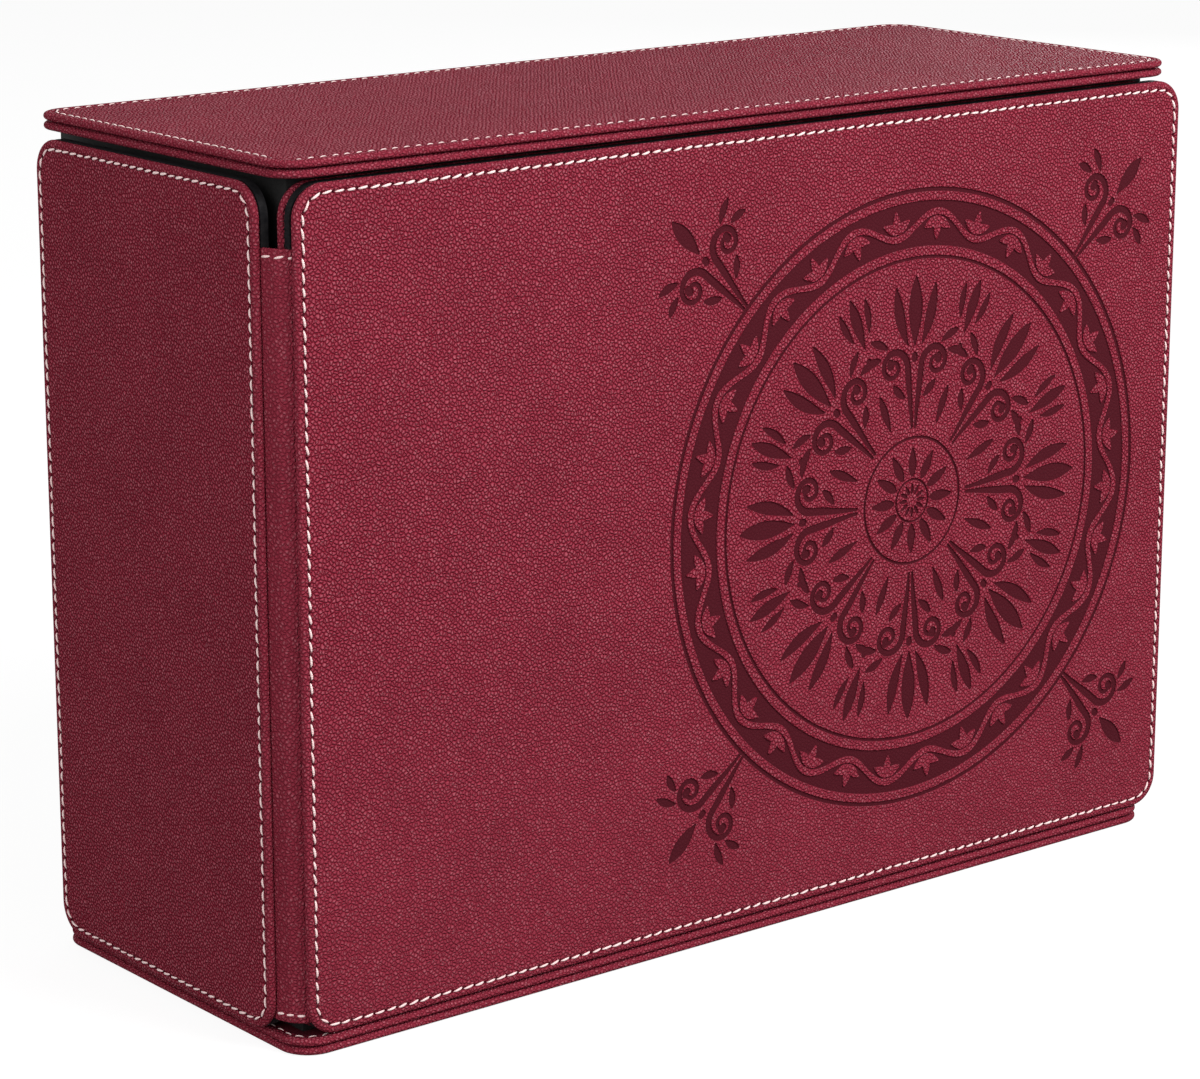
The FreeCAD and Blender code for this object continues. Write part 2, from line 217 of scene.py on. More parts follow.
leatherette = {
    "top": (0.335, 0.048, 0.076),  # pebble tops, lighter partly as a painted highlight
    "crease": (0.184, 0.0098, 0.0232),  # between the pebbles, darker partly as painted shade
    "rise": (0.05, 0.7),  # grain heights between which crease turns to top
    # painted glint: the pale colour of a glint on some pebble tops, and how much of it is laid on
    "paintedGlint": (0.54, 0.175, 0.212),
    "paintedGlintShare": 0.55,
    "drift": (0.96, 1.04),  # slow change of tone over the sheet
    "tautTone": 0.48,  # tone where the grain is drawn flat, and towards the front panel's foot
    "foot": (0.015, 0.14),  # heights between which the front panel's grain, towards its foot, loses its painted shade and highlight and its bump, for the flatter light there
    "footTaut": 0.55,
    "pressed": (0.074, 0.0105, 0.0165),  # smooth pressed ornament, also used as painted shade on the base top inside its stitches
    "pressedEdge": (0.1, 0.8),
    "pressedRough": 0.04,
    # painted shade: the dark in the needle holes and along the seam line
    "holeShade": (0.018, 0.002, 0.004),
    "holeShadeReach": (0.2, 0.8),  # millimetres from a needle hole or from the seam line
    "holeShadeShare": 0.8,
    "lineShadeShare": 0.25,
    "rough": (0.6, 0.36),  # creases, then tops
    "roughRise": (0.1, 0.9),
    "gloss": 0.019,
    "grainDepth": 0.0005,
    "flatPressed": 0.85,  # how much of the grain's depth is lost where it is pressed
    "flatTaut": 0.35,
    "pitch": 3.88,  # from needle hole to needle hole, millimetres
    "seamMark": 10.0,  # value of the seam line in the seam map
}


# grained sheet: crease to pebble top by height, partly painted shade and highlight, with painted glints, then
# pressed places and needle holes, with painted shade on the base top and in the holes
def makeLeatherette():
    look = leatherette
    material, tree, shader = newMaterial("crimsonLeatherette")
    grain = addGroup(tree, grainGroup, {"Pebbles per Metre": grainLook["pebbles"]},
                     {"Sheet": readMap(tree, "sheet")})
    height, drift, paintedGlint = grain.outputs[0], grain.outputs[1], grain.outputs[2]
    # the sheet is drawn tighter, and its grain flatter, at a rolled edge; towards the front panel's foot the
    # grain's painted shade and highlight even out and its bump flattens, for the flatter light there
    place = splitVector(tree, addNode(tree, "ShaderNodeTexCoord").outputs["Object"])[2]
    foot = mathNode(tree, "MULTIPLY", stepBetween(tree, place, *look["foot"], look["footTaut"], 0.0),
                    readAttribute(tree, "footLightFade"))
    taut = mathNode(tree, "MAXIMUM", readAttribute(tree, "taut"), foot)
    # the tone from crease to pebble top is partly the grain's own and partly painted shade in the creases and
    # painted highlight on the tops
    tone = stepBetween(tree, height, *look["rise"])
    tone = mathNode(tree, "MULTIPLY_ADD", mathNode(tree, "SUBTRACT", look["tautTone"], tone), taut, tone)
    colour = mixColour(tree, tone, look["crease"], look["top"])
    # painted glint laid over the tone
    colour = mixColour(tree, mathNode(tree, "MULTIPLY", paintedGlint, look["paintedGlintShare"]), colour, look["paintedGlint"])
    shade = stepBetween(tree, drift, *driftSpan, *look["drift"])
    grey = addNode(tree, "ShaderNodeCombineColor", links={0: shade, 1: shade, 2: shade}).outputs[0]
    colour = mixColour(tree, 1.0, colour, grey, "MULTIPLY")
    # the pressed ornament, and painted shade on the base top inside its stitches
    pressedAndShadeMask = readAttribute(tree, "pressedAndShadeMask")
    colour = mixColour(tree, stepBetween(tree, pressedAndShadeMask, *look["pressedEdge"]), colour, look["pressed"])
    # painted shade in the needle holes and along the seam line: u counts stitches, v passes the seam's mark
    # on its line, in millimetres
    seam = splitVector(tree, readMap(tree, "seam"))
    beside = mathNode(tree, "ABSOLUTE", mathNode(tree, "SUBTRACT", seam[1], look["seamMark"]))
    turn = mathNode(tree, "FRACT", mathNode(tree, "ADD", seam[0], 0.5))
    along = mathNode(tree, "MULTIPLY", mathNode(tree, "ABSOLUTE", mathNode(tree, "SUBTRACT", turn, 0.5)),
                     look["pitch"])
    away = mathNode(tree, "SQRT", mathNode(tree, "ADD", mathNode(tree, "POWER", beside, 2.0),
                                           mathNode(tree, "POWER", along, 2.0)))
    holeShade = stepBetween(tree, away, *look["holeShadeReach"], look["holeShadeShare"], 0.0)
    line = stepBetween(tree, beside, *look["holeShadeReach"], look["lineShadeShare"], 0.0)
    colour = mixColour(tree, mathNode(tree, "MAXIMUM", holeShade, line), colour, look["holeShade"])
    rough = stepBetween(tree, height, *look["roughRise"], *look["rough"])
    drawn = mathNode(tree, "MAXIMUM", pressedAndShadeMask, mathNode(tree, "MULTIPLY", taut, look["flatTaut"]))
    plain = mathNode(tree, "MULTIPLY_ADD", drawn, -look["flatPressed"], 1.0)
    feed(tree, shader, {
        "Base Color": colour,
        "Roughness": mathNode(tree, "MULTIPLY_ADD", pressedAndShadeMask, look["pressedRough"], rough),
        "Specular IOR Level": stepBetween(tree, height, 0.4, 1.0, 0.0, look["gloss"]),
        "Normal": addBump(tree, mathNode(tree, "MULTIPLY", height, plain), 1.0, look["grainDepth"])})
    return material


stitchThread = {
    "light": (1.0, 0.77, 0.75),
    # colour in the grooves between the plies, darker as painted shade
    "dark": (0.95, 0.54, 0.52),
    "twists": 5.0,  # turns of the plies along a stitch
    "plySpan": (-1.0, 0.6),
    "plyShare": 0.3,
    "plyBump": (0.5, 0.00012),
    "rough": (0.55, 0.4),
    "specular": 0.6,
    "sheen": 0.4,
}


# twisted thread: u runs along a stitch, v round it, so a slanted wave gives the lay of the plies; the colour
# darkens into the grooves between plies as painted shade
def makeThread():
    look = stitchThread
    material, tree, shader = newMaterial("paleThread")
    lay = splitVector(tree, readMap(tree, "lay"))
    turn = mathNode(tree, "MULTIPLY_ADD", lay[0], look["twists"], lay[1])
    wave = mathNode(tree, "SINE", mathNode(tree, "MULTIPLY", turn, 2 * math.pi))
    ply = stepBetween(tree, wave, *look["plySpan"])
    tone = mathNode(tree, "MULTIPLY_ADD", ply, look["plyShare"], 1.0 - look["plyShare"])
    tone = mathNode(tree, "MULTIPLY", tone, readAttribute(tree, "shade"))
    feed(tree, shader, {
        "Base Color": mixColour(tree, tone, look["dark"], look["light"]),
        "Roughness": stepBetween(tree, ply, 0.0, 1.0, *look["rough"]),
        "Normal": addBump(tree, ply, *look["plyBump"]),
        "Specular IOR Level": look["specular"],
        "Sheen Weight": look["sheen"]})
    return material


# black papers and felt, the clear film and the plated discs: two colours, roughness, bump and own inputs
fibredFinishes = {
    "liningSheet": {"fibres": 900.0, "colours": ((0.006, 0.006, 0.007), (0.016, 0.015, 0.016)),
                    "tone": "Height", "contrast": (0.3, 0.7), "rough": (0.6, 0.45), "bump": (0.6, 0.00005),
                    "own": {"Specular IOR Level": 0.05}},
    "wrappedBoard": {"fibres": 1700.0, "colours": ((0.006, 0.006, 0.006), (0.017, 0.016, 0.016)),
                     "tone": "Height", "contrast": (0.3, 0.7), "rough": (0.75, 0.6), "bump": (0.6, 0.00006),
                     "own": {"Specular IOR Level": 0.2}},
    "shortFelt": {"fibres": 2600.0, "colours": ((0.005, 0.005, 0.006), (0.030, 0.029, 0.031)),
                  "tone": "Height", "contrast": (0.3, 0.7), "rough": (1.0, 0.9), "bump": (0.6, 0.00022),
                  "own": {"Specular IOR Level": 0.15}},
    "clearFilm": {"fibres": 60.0, "colours": ((0.90, 0.92, 0.94), (0.97, 0.98, 0.99)), "tone": "Drift",
                  "rough": (0.06, 0.14), "bump": (0.15, 0.0002),
                  "own": {"Transmission Weight": 1.0, "IOR": 1.45}},
    "platedDisc": {"fibres": 700.0, "colours": ((0.46, 0.46, 0.48), (0.66, 0.66, 0.68)), "tone": "Height",
                   "rough": (0.22, 0.36), "own": {"Metallic": 1.0}},
}


def makeFibred(name):
    look = fibredFinishes[name]
    material, tree, shader = newMaterial(name)
    fibre = addGroup(tree, fibreGroup, {"Fibres per Metre": look["fibres"]}).outputs
    tone = fibre[look["tone"]]
    if "contrast" in look:
        tone = stepBetween(tree, tone, *look["contrast"])
    if "bump" in look:
        feed(tree, shader, {"Normal": addBump(tree, fibre["Height"], *look["bump"])})
    feed(tree, shader, {"Base Color": mixColour(tree, tone, *look["colours"]),
                        "Roughness": stepBetween(tree, fibre["Drift"], *driftSpan, *look["rough"]),
                        **look["own"]})
    return material


leatherSkin = makeLeatherette()
threadSkin = makeThread()
skins = {name: makeFibred(name) for name in fibredFinishes}
print("materials made")


# a mesh at the origin with its material and maps; the faces in flat stay unsmoothed
def addPiece(name, verts, faces, material, uvs=None, flat=None):
    mesh = bpy.data.meshes.new(name)
    mesh.from_pydata(verts, [], faces)
    smooth = np.ones(len(mesh.polygons), bool)
    if flat is not None:
        smooth[flat] = False
    mesh.polygons.foreach_set("use_smooth", smooth)
    for label, uv in (uvs or {}).items():
        layer = mesh.uv_layers.new(name=label)
        layer.data.foreach_set("uv", np.asarray(uv, np.float32).ravel())
    mesh.materials.append(material)
    mesh.update()
    piece = bpy.data.objects.new(name, mesh)
    scene.collection.objects.link(piece)
    return piece


# one number for each point, which a material reads
def addAttribute(piece, name, values):
    layer = piece.data.attributes.new(name, "FLOAT", "POINT")
    layer.data.foreach_set("value", np.asarray(values, np.float32))


# how a board lies: its own right, its own up, and the way its good face looks
lies = {
    "front": np.array([[1, 0, 0], [0, 0, 1], [0, -1, 0]], float),
    "back": np.array([[-1, 0, 0], [0, 0, 1], [0, 1, 0]], float),
    "left": np.array([[0, -1, 0], [0, 0, 1], [-1, 0, 0]], float),
    "right": np.array([[0, 1, 0], [0, 0, 1], [1, 0, 0]], float),
    "up": np.array([[1, 0, 0], [0, 1, 0], [0, 0, 1]], float),
    "down": np.array([[1, 0, 0], [0, -1, 0], [0, 0, -1]], float),
}
signs = np.array([[1, 1], [-1, 1], [-1, -1], [1, -1]], float)


# the box of a CAD node in a board's own axes, in millimetres: middle in the frame, and half sizes
def boardFrame(node, lie):
    low, high = (np.array(corner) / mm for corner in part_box(node))
    half = np.abs(lies[lie] @ (high - low)) / 2
    return (low + high) / 2, half


# samples round a rounded rectangle, anticlockwise: each lies between two corner angles
def ringLayout(halfU, halfV, corners, step):
    rows = []
    for k in range(4):
        radius, following = corners[k], corners[(k + 1) % 4]
        arcSteps = max(5, int(round(0.5 * math.pi * radius / step)))
        angles = (k + np.arange(arcSteps) / arcSteps) * math.pi / 2
        rows.append(np.column_stack([np.full(arcSteps, k), angles, np.full(arcSteps, k), angles,
                                     np.zeros(arcSteps)]))
        length = 2 * (halfU if k % 2 == 0 else halfV) - radius - following
        steps = max(2, int(round(length / step)))
        turned = np.full(steps, (k + 1) * math.pi / 2)
        rows.append(np.column_stack([np.full(steps, k), turned, np.full(steps, (k + 1) % 4), turned,
                                     np.arange(steps) / steps]))
    return np.vstack(rows)


# points at given angles on a circle of radius one
def circlePoints(angle):
    return np.column_stack([np.cos(angle), np.sin(angle)])


# the ring at a distance inside the edge; a corner's radius shrinks with it down to a small one
def ringPoints(layout, halfU, halfV, corners, inset, least=0.6):
    radius = np.maximum(np.asarray(corners, float) - inset, least)

    def at(corner, angle):
        corner = corner.astype(int)
        centre = np.column_stack([halfU - inset - radius[corner], halfV - inset - radius[corner]])
        return signs[corner] * centre + circlePoints(angle) * radius[corner][:, None]

    share = layout[:, 4:5]
    return (1 - share) * at(layout[:, 0], layout[:, 1]) + share * at(layout[:, 2], layout[:, 3])


# the length run along a line at each of its points
def runAlong(points):
    return np.concatenate([[0], np.cumsum(np.linalg.norm(np.diff(points, axis=0), axis=1))])


# the points of a flat line at given lengths along it
def pointsAt(place, run, line):
    return np.column_stack([np.interp(place, run, line[:, 0]), np.interp(place, run, line[:, 1])])


# the same directions, each one long
def unitVectors(vectors):
    return vectors / np.linalg.norm(vectors, axis=1, keepdims=True)


# the map of four-cornered cells: two values across and two along for each
def cellMap(first, second, low, high):
    corners = ((first, low), (second, low), (second, high), (first, high))
    return np.stack([np.column_stack(corner) for corner in corners], axis=1).reshape(-1, 2)


# cells between rings of points: the four corners of each, and its row, next row and column
def ringCells(rows, around, closed=False):
    row, column = (index.ravel() for index in np.meshgrid(np.arange(rows if closed else rows - 1),
                                                          np.arange(around), indexing="ij"))
    nextRow, nextColumn = (row + 1) % rows, (column + 1) % around
    quads = np.column_stack([row * around + column, row * around + nextColumn,
                             nextRow * around + nextColumn, nextRow * around + column])
    return quads, row, nextRow, column


boardLook = {
    "pitch": leatherette["pitch"],
    "seam": 2.6,  # from the edge to the stitches
    "dip": 0.26,  # depth of the drawn-down seam line, and its half width
    "dipWidth": 0.55,
    "pucker": 0.45,  # share of the dip that comes and goes with the needle holes
    "puff": 0.05,  # swelling between the edge and the seam
    "puffPlace": (0.55, 0.3),  # where it is highest and its half width, as shares of the way to the seam
    "bead": 1.17,  # radius of the rolled edge
    "fullest": 0.98,  # largest radius of the roll, as a share of half the thickness
    "backRow": 2.5,  # place of the second row on the back, in radii of the roll
    "taut": (0.5, 1.6),  # how flat the grain is on the roll, and how far that goes, in radii
    "reach": 7.0,  # width of the border that is made in fine rows
    "step": 0.7,
    "relief": 0.0,
    "paintedShadeFrom": 99.0,  # no painted shade on the face
}
edgeRows = {"back": 2, "roll": 13, "face": 24, "opening": 9}
lidLook = dict(boardLook, seam=3.6, relief=0.32)
baseLook = dict(boardLook, seam=2.9, relief=0.25)
baseTopLook = dict(baseLook, paintedShadeFrom=3.7)  # painted shade: inside the stitches the top, in shadow under the case, takes the dark pressed colour
plainStep = 1.2  # spacing round a board that has no stitches
frameLook = dict(boardLook, reach=4.0)  # its bottom rail is narrow
sheetSpan = 5.0  # each board is cut from another place in the sheet


# edge of a wrapped board: distance inside the edge and height, from the back face round to the good face
def boardProfile(halfThick, look, seam):
    bead, line, reach = min(look["bead"], look["fullest"] * halfThick), look["seam"], look["reach"]
    highest, wide = look["puffPlace"]
    dip, puff = (look["dip"], look["puff"]) if seam else (0.0, 0.0)
    turn = np.radians(np.linspace(-90, 90, edgeRows["roll"]))
    edgeInset = bead * (1 - np.cos(turn))
    edgeHeight = np.sign(turn) * (halfThick - bead) * (np.abs(turn) > 1e-6) + bead * np.sin(turn)
    edgeHeight = edgeHeight + look["relief"] * (halfThick - edgeHeight) / (2 * halfThick)
    face = np.linspace(bead, reach, edgeRows["face"])[1:]
    swell = puff * np.exp(-((face - highest * line) / (wide * line)) ** 2)
    groove = dip * np.exp(-((face - line) / look["dipWidth"]) ** 2)
    inset = np.concatenate([[reach, look["backRow"] * bead], edgeInset, face])
    height = np.concatenate([[-halfThick, -halfThick], edgeHeight, halfThick + swell - groove])
    depth = np.concatenate([np.zeros(edgeRows["back"] + len(turn)), groove])
    return inset, height, depth


# the seam line of a board, closed, the length run along it and the number of its stitches
def seamLine(layout, halfU, halfV, corners, look):
    line = ringPoints(layout, halfU, halfV, corners, look["seam"])
    line = np.vstack([line, line[:1]])
    run = runAlong(line)
    return line, run, int(round(run[-1] / look["pitch"]))


# wrapped board: the edge profile carried round the outline, with a pucker at each needle hole
def wrappedBoard(name, node, body, lie, corners, seam=True, look=boardLook, inside=None, opening=None,
                 skin=None):
    middle, (halfU, halfV, halfThick) = boardFrame(node, lie)
    layout = ringLayout(halfU, halfV, corners, look["step"])
    around = len(layout)
    run, stitches = seamLine(layout, halfU, halfV, corners, look)[1:]
    count = run / run[-1] * stitches
    inset, height, depth = boardProfile(halfThick, look, seam)
    pucker = look["pucker"] * np.cos(2 * math.pi * count[:-1])
    rings = np.stack([ringPoints(layout, halfU, halfV, corners, value) for value in inset])
    level = height[:, None] - depth[:, None] * pucker[None, :]
    # the sheet laid flat: each row lies as far out as the profile's own length from the inner edge
    walked = runAlong(np.column_stack([inset, height])[::-1])
    laid = look["reach"] - walked[::-1]
    sheet = np.stack([ringPoints(layout, halfU, halfV, corners, value) for value in laid])
    if opening:
        turn = np.radians(np.linspace(90, -90, edgeRows["opening"]))
        back = look["bead"] * (1 - np.cos(turn))
        edge = np.stack([ringPoints(layout, *opening["half"], opening["corners"], -value) for value in back])
        edge = edge + np.array(opening["centre"])
        rings, sheet = np.vstack([rings, edge]), np.vstack([sheet, edge])
        rise = (halfThick - look["bead"]) * np.sign(np.round(turn, 6)) + look["bead"] * np.sin(turn)
        level = np.vstack([level, np.repeat(rise[:, None], around, axis=1)])
        inset = np.concatenate([inset, np.full(len(turn), look["reach"])])
    local = np.concatenate([rings, level[:, :, None]], axis=2).reshape(-1, 3)
    sheet = sheet.reshape(-1, 2)
    rows = len(inset)
    quads, row, nextRow, column = ringCells(rows, around, closed=bool(opening))
    onFront = np.arange(rows) > edgeRows["back"]
    across = np.where(onFront & seam, leatherette["seamMark"] + inset - look["seam"], 0.0)
    uv = cellMap(count[column], count[column + 1], across[row], across[nextRow])
    faces = quads.tolist()
    lastRing = (rows - 1) * around + np.arange(around)
    flat = []
    # painted shade: the face further in than the given inset takes the pressed colour
    pressedAndShadeMask = np.repeat(np.where(onFront & (inset > look["paintedShadeFrom"]), 1.0, 0.0), around)
    flattest, far = look["taut"]
    taut = np.repeat(flattest * np.clip(far - inset / look["bead"], 0, 1), around)
    if not opening:
        flat.append(len(faces))
        faces.append(np.arange(around)[::-1].tolist())
    if not opening and inside is None:
        flat.append(len(faces))
        faces.append(lastRing.tolist())
    if inside is not None:
        added, triangles, mask = inside(local[lastRing], lastRing, len(local))
        local = np.vstack([local, added])
        sheet = np.vstack([sheet, added[:, :2]])
        pressedAndShadeMask = np.concatenate([pressedAndShadeMask, mask])
        taut = np.concatenate([taut, np.zeros(len(added))])
        flat.extend(range(len(faces), len(faces) + len(triangles)))
        faces.extend(triangles.tolist())
    loops = np.concatenate([np.asarray(face) for face in faces])
    uv = np.vstack([uv, np.zeros((len(loops) - len(uv), 2))])
    verts = (middle + local @ lies[lie]) * mm
    start = rng.uniform(0.0, sheetSpan, 2)
    piece = addPiece(name, verts.tolist(), faces, skin or leatherSkin,
                     {"seam": uv, "sheet": sheet[loops] * mm + start}, flat)
    addAttribute(piece, "pressedAndShadeMask", pressedAndShadeMask)
    addAttribute(piece, "taut", taut)
    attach(piece, body)
    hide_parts(node)
    return piece


stitchLook = {
    "share": 0.80,  # of the pitch
    "halfWidth": 0.36,
    "halfHeight": 0.30,
    "tip": 0.18,  # share of the width at a needle hole
    "swell": 0.45,
    "bow": 0.34,  # rise in the middle, and depth of the ends in their holes
    "sunk": 0.30,
    "lean": 0.17,
    "uneven": 0.05,  # spread of lean, length and place
    "unevenWidth": 0.06,
    "slip": 0.02,  # spread of the needle holes, in pitches
    "shade": (0.92, 0.08, 0.6),  # mean tone, its spread and the darkest
    "steps": 8,
    "round": 8,
    "spacing": 0.3,
}
slimThread = dict(stitchLook, share=0.66, halfWidth=0.25, halfHeight=0.15)
lidSink = {"place": (-167.0, -58.0), "reach": 5.2, "depth": 0.7}  # drawn into the roll at the front left


# stitches: each is a short flattened thread from one needle hole to the next, bowed up in the middle
def threadRow(name, starts, ends, upward, look=stitchLook):
    count = len(starts)
    chord = ends - starts
    length = np.linalg.norm(chord, axis=1, keepdims=True)
    ahead = chord / length
    beside = np.cross(upward, ahead)
    lean = look["lean"] + rng.normal(0, look["uneven"], (count, 1))
    slack = 1 + rng.normal(0, look["uneven"], (count, 1))
    middle = (starts + ends) / 2 + beside * rng.normal(0, look["uneven"], (count, 1))
    u = np.linspace(0, 1, look["steps"] + 1)
    v = np.arange(look["round"]) / look["round"]
    rise = look["bow"] * (1 - np.abs(2 * u - 1) ** 3) - look["sunk"]
    fat = look["tip"] + (1 - look["tip"]) * np.sin(math.pi * u) ** look["swell"]
    reach = (u - 0.5)[None, :, None] * (length * slack)[:, None, :]
    spine = (middle[:, None, :] + ahead[:, None, :] * reach * np.cos(lean)[:, None, :]
             + beside[:, None, :] * reach * np.sin(lean)[:, None, :])
    spine = spine + upward[:, None, :] * rise[None, :, None]
    around = 2 * math.pi * v
    uneven = 1 + rng.normal(0, look["unevenWidth"], (count, 1, 1))
    wide = look["halfWidth"] * uneven * fat[None, :, None] * np.cos(around)
    tall = look["halfHeight"] * fat[None, :, None] * np.sin(around) * np.ones((count, 1, 1))
    leanBeside = beside * np.cos(lean) - ahead * np.sin(lean)
    points = (spine[:, :, None, :] + wide[..., None] * leanBeside[:, None, None, :]
              + tall[..., None] * upward[:, None, None, :])
    rows, columns = len(u), len(v)
    verts = points.reshape(-1, 3) * mm
    number, row, column = (index.ravel() for index in np.meshgrid(
        np.arange(count), np.arange(rows - 1), np.arange(columns), indexing="ij"))
    low = (number * rows + row) * columns
    following = (column + 1) % columns
    quads = np.column_stack([low + following, low + columns + following, low + columns + column,
                             low + column])
    uv = cellMap(u[row], u[row + 1], (column + 1) / columns, column / columns)
    piece = addPiece(name, verts.tolist(), quads.tolist(), threadSkin, uvs={"lay": uv})
    mean, spread, darkest = look["shade"]
    shade = np.clip(rng.normal(mean, spread, count), darkest, 1.0)
    addAttribute(piece, "shade", np.repeat(shade, rows * columns))
    return piece


# stitches round a board's seam line
def boardStitches(name, node, body, lie, corners, look=boardLook, thread=stitchLook, sink=None):
    middle, (halfU, halfV, halfThick) = boardFrame(node, lie)
    layout = ringLayout(halfU, halfV, corners, thread["spacing"])
    line, run, stitches = seamLine(layout, halfU, halfV, corners, look)
    pitch = run[-1] / stitches
    slip = rng.normal(0, thread["slip"], stitches)
    gap = (1 - thread["share"]) / 2 + rng.normal(0, thread["slip"], stitches)

    def at(place):
        flat = pointsAt(np.mod(place, run[-1]), run, line)
        drop = np.zeros(len(flat))
        if sink:
            away = np.linalg.norm(flat - np.array(sink["place"]), axis=1)
            drop = sink["depth"] * np.exp(-(away / sink["reach"]) ** 4)
        return middle + np.column_stack([flat, halfThick - drop]) @ lies[lie]

    number = np.arange(stitches) + slip
    upward = np.repeat(lies[lie][2:3], stitches, axis=0)
    piece = threadRow(name, at((number + gap) * pitch), at((number + 1 - gap) * pitch), upward, thread)
    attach(piece, body)


# pressed ornament of the front panel: a round medallion of scrolls and leaves
ornament = {
    "centre": (56.0, 0.0),  # from the middle of the panel, millimetres
    "depth": 0.42,
    "slope": 0.32,  # width of a pressed edge
    "sectors": 8,
    "petals": 12,
    "rings": ((6.6, 0.45), (19.6, 0.55), (74.8, 0.6), (95.2, 0.75)),  # radius and half width
    "band": (78.0, 92.0),
    "waves": 16,
    "waveReach": 3.6,  # to each side of the band's middle
    "waveWidths": (0.75, 0.95, 0.75),
    "thin": (0.08, 0.05),  # half widths: ends under the first are left out, and none is under the second
    "leafTip": 0.25,
    "spacing": 0.9,
    "curveSteps": 60,
    "leafSteps": 24,
    "arcSteps": 200,
    "bandSteps": 420,
    "merge": 1e-5,  # points of the outlines nearer than this are one
}


# a stroke is a centre line with a half width at each point
def evenStroke(points, widths, spacing=ornament["spacing"]):
    points = np.asarray(points, float)
    run = runAlong(points)
    steps = max(6, int(run[-1] / spacing))
    place = np.linspace(0, run[-1], steps + 1)
    share = np.linspace(0, 1, len(widths))
    return pointsAt(place, run, points), np.interp(place / run[-1], share, widths)


# a cubic curve from the first point to the fourth, drawn towards the two between them
def bezier(first, second, third, fourth):
    t = np.linspace(0, 1, ornament["curveSteps"])[:, None]
    corner = [np.asarray(point, float) for point in (first, second, third, fourth)]
    return ((1 - t) ** 3 * corner[0] + 3 * t * (1 - t) ** 2 * corner[1]
            + 3 * t ** 2 * (1 - t) * corner[2] + t ** 3 * corner[3])


# a leaf swells along its length, later for a larger swell, bends aside by its curl and ends in a fine tip
def leaf(root, angle, length, wide, curl, swell=0.75):
    ahead = np.array([math.cos(angle), math.sin(angle)])
    beside = np.array([-ahead[1], ahead[0]])
    root = np.asarray(root, float)
    line = bezier(root, root + ahead * 0.35 * length,
                  root + ahead * 0.7 * length + beside * curl * 0.5 * length,
                  root + ahead * length + beside * curl * length)
    share = np.linspace(0, 1, ornament["leafSteps"])
    width = ornament["leafTip"] + wide * np.sin(math.pi * share ** swell) ** 0.9
    return evenStroke(line, width)


# an arc about the middle, of one width
def circleStroke(radius, width, start, end):
    angle = np.linspace(start, end, ornament["arcSteps"])
    return evenStroke(radius * circlePoints(angle), [width, width])


# half of a sector: a stem beside the axis that winds into a spiral, with leaves on its outer side
def scrollBranch():
    centre, size, decay = np.array([42.0, 8.9]), 6.3, 0.16
    angle = np.radians(np.linspace(-100, 400, 240))

    def spiral(turn, margin=0.0):
        reach = size * np.exp(-decay * (turn - angle[0])) + margin
        return centre + reach[:, None] * circlePoints(turn)

    curl = spiral(angle)
    stem = bezier((22.8, 0.7), (28.0, 0.9), (34.0, 2.0), curl[0])
    strokes = [evenStroke(np.vstack([stem, curl[1:]]), [0.6, 1.0, 1.35, 1.35, 1.2, 1.0, 0.9, 0.8])]
    strokes.append(evenStroke(curl[-1] + np.array([[-0.4, 0.0], [0.4, 0.0]]), [1.5, 1.5], 0.2))
    strokes.append(leaf((32.0, 3.4), math.radians(62), 7.0, 1.2, -0.25, 1.1))
    for degrees, length in ((18, 8.0), (56, 6.5)):
        spot = math.radians(degrees)
        strokes.append(leaf(spiral(np.array([spot]), 1.5)[0], spot + 0.55, length, 1.2, 0.3, 1.1))
    return strokes


# an opening bud on the axis of a sector, above a bead between the two spirals
def axisSpray():
    strokes = [leaf((47.5, 0), 0.0, 22.0, 2.7, 0.0, 1.15),
               evenStroke([(44.1, 0), (44.9, 0)], [1.3, 1.3], 0.2)]
    for side in (-1, 1):
        strokes.append(leaf((48.0, side * 2.6), side * math.radians(30), 19.0, 1.9, -side * 0.24, 1.1))
    return strokes


# a bud and two small leaves between two sectors
def betweenSpray():
    strokes = [leaf((53.0, 0), 0.0, 17.5, 1.9, 0.0, 1.2), leaf((24.0, 0), 0.0, 13.0, 1.3, 0.0, 1.2),
               evenStroke([(48.6, 0), (49.2, 0)], [1.1, 1.1], 0.2)]
    for side in (-1, 1):
        strokes.append(leaf((57.0, side * 3.2), side * math.radians(24), 11.0, 1.15, -side * 0.22, 1.1))
    return strokes


# a corner repeats the two spirals further out, with a bud between them
def cornerSpray():
    step = np.array([73.0, 0.0])
    strokes = [(line + step, width) for line, width in scrollBranch() + turned(scrollBranch(), 0.0, True)]
    strokes.append(leaf((120.5, 0), 0.0, 15.0, 2.3, 0.0, 1.15))
    strokes.append(evenStroke([(117.1, 0), (117.9, 0)], [1.3, 1.3], 0.2))
    return strokes


# strokes turned about the middle, mirrored across the axis first where flip is set
def turned(strokes, angle, flip=False):
    cosine, sine = math.cos(angle), math.sin(angle)
    spin = np.array([[cosine, sine], [-sine, cosine]])
    mirror = np.array([1.0, -1.0 if flip else 1.0])
    return [((line * mirror) @ spin, width) for line, width in strokes]


